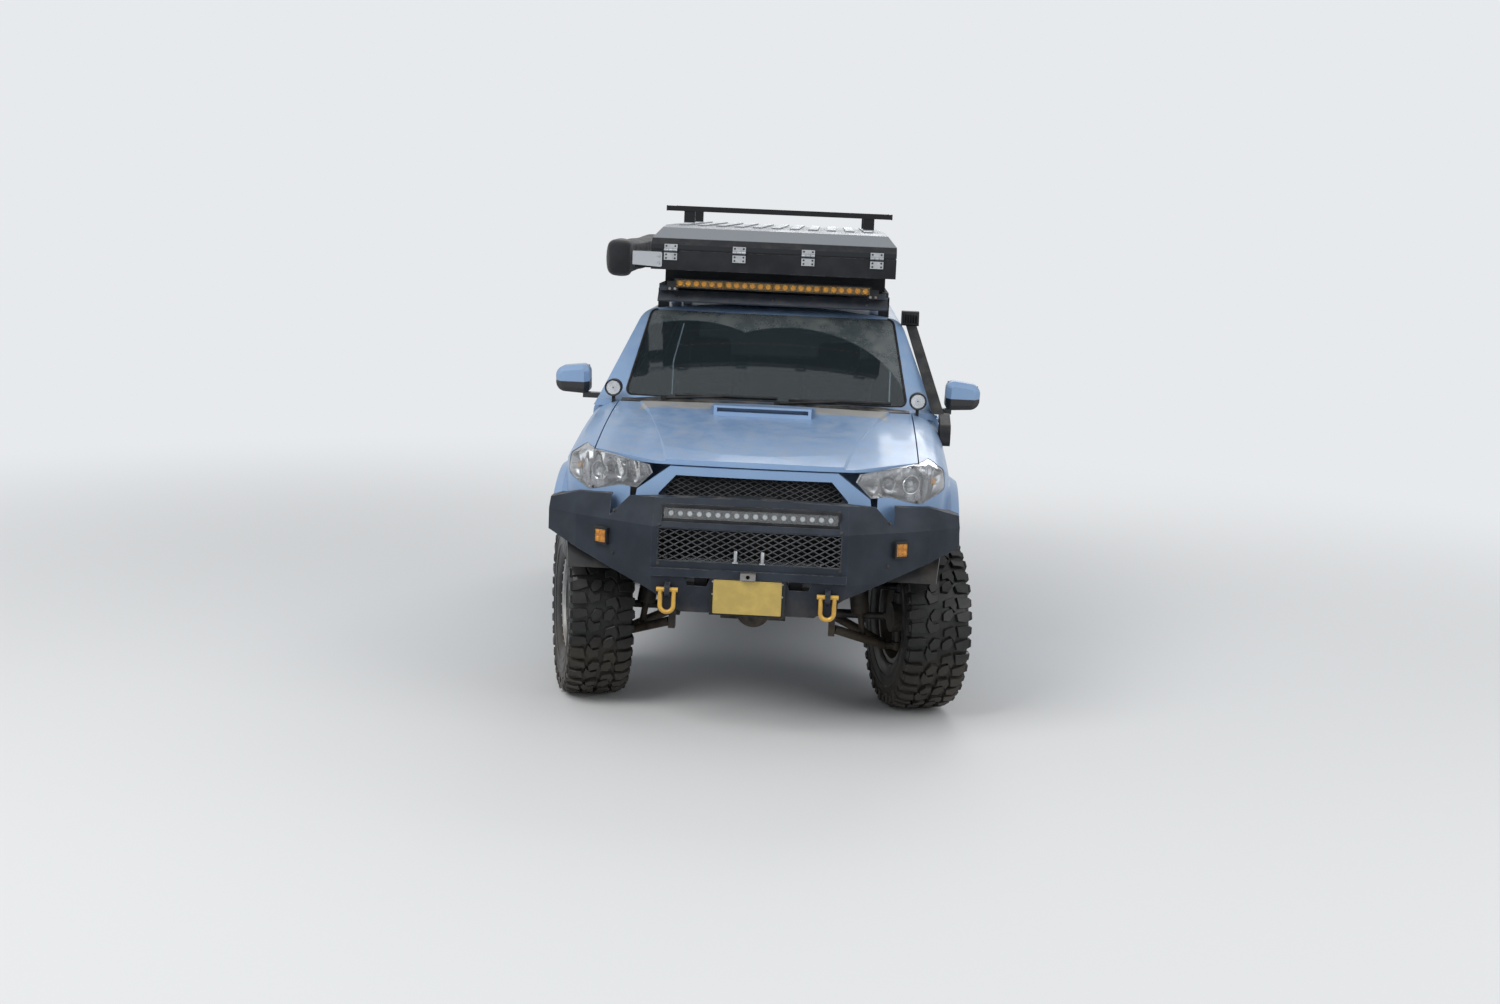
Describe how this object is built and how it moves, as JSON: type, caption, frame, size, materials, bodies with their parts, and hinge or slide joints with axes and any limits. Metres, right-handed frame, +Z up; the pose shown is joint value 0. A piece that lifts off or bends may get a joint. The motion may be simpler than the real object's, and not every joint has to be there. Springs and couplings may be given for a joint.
{
  "type": "off-road vehicle",
  "caption": "Lifted five-door off-road wagon with mud tyres, steel winch bumper, snorkel, roof rack, hard-top roof tent, side awning bag and auxiliary lamps.",
  "frame": {"origin": "on the ground at the middle of the vehicle's length and width", "axes": "+Z up, -Y forward, +X to the vehicle's left"},
  "size_m": [2.2064, 4.84, 2.392],
  "materials": {
    "body_paint": "satin steel-blue paint",
    "bumper_paint": "coarse dark powder coat",
    "black_metal": "black satin",
    "black_plastic": "grained",
    "window_glass": "clear",
    "lamp_glass": "hazed clear lens",
    "clear_lens": "clear lens",
    "amber_lens": "amber lens",
    "red_lens": "red lens",
    "gold_steel": "gold paint",
    "gold_plate": "pressed sheet",
    "bare_steel": "worn",
    "engine_metal": "cast",
    "aluminium_sheet": "ribbed sheet",
    "tyre_rubber": "dusty rubber on dark rims",
    "bag_fabric": "coated cloth",
    "seat_fabric": "woven"
  },
  "bodies": {
    "chassis": {"awning_bag": "bag_fabric", "body_shell": "body_paint", "bumper_light_bar": "clear_lens", "bumper_mesh": "black_plastic", "dashboard": "black_plastic", "ditch_lamps": "black_metal", "engine_block": "engine_metal", "exhaust": "bare_steel", "fender_left": "body_paint", "fender_right": "body_paint", "fog_lamps": "amber_lens", "frame_rails": "black_metal", "front_bumper": "bumper_paint", "front_driveline": "engine_metal", "front_suspension": "black_metal", "fuel_tank": "black_plastic", "grille_mesh": "black_plastic", "grille_surround": "body_paint", "headlamps": "lamp_glass", "number_plate": "gold_plate", "plate_frame": "black_plastic", "quarter_glass": "window_glass", "radiator": "aluminium_sheet", "rear_axle": "engine_metal", "rear_bumper": "bumper_paint", "rear_suspension": "black_metal", "roof_light_bar": "amber_lens", "roof_rack": "black_metal", "seats": "seat_fabric", "shackles": "gold_steel", "skid_plate": "aluminium_sheet", "snorkel": "black_plastic", "steering_rack": "engine_metal", "tail_lamps": "red_lens", "tent_base": "black_metal", "winch": "black_metal", "winch_hook": "bare_steel", "windscreen": "window_glass", "wipers": "black_plastic"},
    "knuckle_left": {"steering_knuckle_left": "engine_metal"},
    "knuckle_right": {"steering_knuckle_right": "engine_metal"},
    "wheel_front_left": {"front_wheel_left": "tyre_rubber"},
    "wheel_front_right": {"front_wheel_right": "tyre_rubber"},
    "wheel_rear_left": {"rear_wheel_left": "tyre_rubber"},
    "wheel_rear_right": {"rear_wheel_right": "tyre_rubber"},
    "door_front_left": {"front_door_left": "body_paint", "front_door_glass_left": "window_glass", "mirror_left": "body_paint"},
    "door_front_right": {"front_door_right": "body_paint", "front_door_glass_right": "window_glass", "mirror_right": "body_paint"},
    "door_rear_left": {"rear_door_left": "body_paint", "rear_door_glass_left": "window_glass"},
    "door_rear_right": {"rear_door_right": "body_paint", "rear_door_glass_right": "window_glass"},
    "hood_panel": {"hood": "body_paint"},
    "tailgate": {"liftgate": "body_paint", "liftgate_glass": "window_glass"},
    "tent_top": {"tent_lid": "aluminium_sheet"}
  },
  "joints": [
    {"name": "steer_left", "type": "hinge", "parent": "chassis", "child": "knuckle_left", "pos_m": [0.715, -1.52, 0.4445], "axis": [0, 0, 1], "range_deg": [-44, 16]},
    {"name": "steer_right", "type": "hinge", "parent": "chassis", "child": "knuckle_right", "pos_m": [-0.715, -1.52, 0.4445], "axis": [0, 0, 1], "range_deg": [-44, 16]},
    {"name": "front_left_spin", "type": "hinge", "parent": "knuckle_left", "child": "wheel_front_left", "pos_m": [0.79748, -1.49944, 0.4445], "axis": [0.9703, 0.2419, 0], "continuous": true},
    {"name": "front_right_spin", "type": "hinge", "parent": "knuckle_right", "child": "wheel_front_right", "pos_m": [-0.79748, -1.54056, 0.4445], "axis": [0.9703, 0.2419, 0], "continuous": true},
    {"name": "rear_left_spin", "type": "hinge", "parent": "chassis", "child": "wheel_rear_left", "pos_m": [0.8, 1.27, 0.4445], "axis": [1, 0, 0], "continuous": true},
    {"name": "rear_right_spin", "type": "hinge", "parent": "chassis", "child": "wheel_rear_right", "pos_m": [-0.8, 1.27, 0.4445], "axis": [1, 0, 0], "continuous": true},
    {"name": "front_left_door_hinge", "type": "hinge", "parent": "chassis", "child": "door_front_left", "pos_m": [0.893, -0.902, 0.975], "axis": [0, 0, -1], "range_deg": [0, 65]},
    {"name": "front_right_door_hinge", "type": "hinge", "parent": "chassis", "child": "door_front_right", "pos_m": [-0.893, -0.902, 0.975], "axis": [0, 0, 1], "range_deg": [0, 65]},
    {"name": "rear_left_door_hinge", "type": "hinge", "parent": "chassis", "child": "door_rear_left", "pos_m": [0.893, 0.12, 0.975], "axis": [0, 0, -1], "range_deg": [0, 65]},
    {"name": "rear_right_door_hinge", "type": "hinge", "parent": "chassis", "child": "door_rear_right", "pos_m": [-0.893, 0.12, 0.975], "axis": [0, 0, 1], "range_deg": [0, 65]},
    {"name": "hood_hinge", "type": "hinge", "parent": "chassis", "child": "hood_panel", "pos_m": [0, -1.12, 1.4], "axis": [-1, 0, 0], "range_deg": [0, 50]},
    {"name": "liftgate_hinge", "type": "hinge", "parent": "chassis", "child": "tailgate", "pos_m": [0, 1.88, 1.862], "axis": [1, 0, 0], "range_deg": [0, 75]},
    {"name": "tent_lid_hinge", "type": "hinge", "parent": "chassis", "child": "tent_top", "pos_m": [0, -0.735, 2.164], "axis": [1, 0, 0], "range_deg": [0, 38]}
  ],
  "couplings": [
    {"joint": "steer_right", "follows": "steer_left", "ratio": 1}
  ]
}
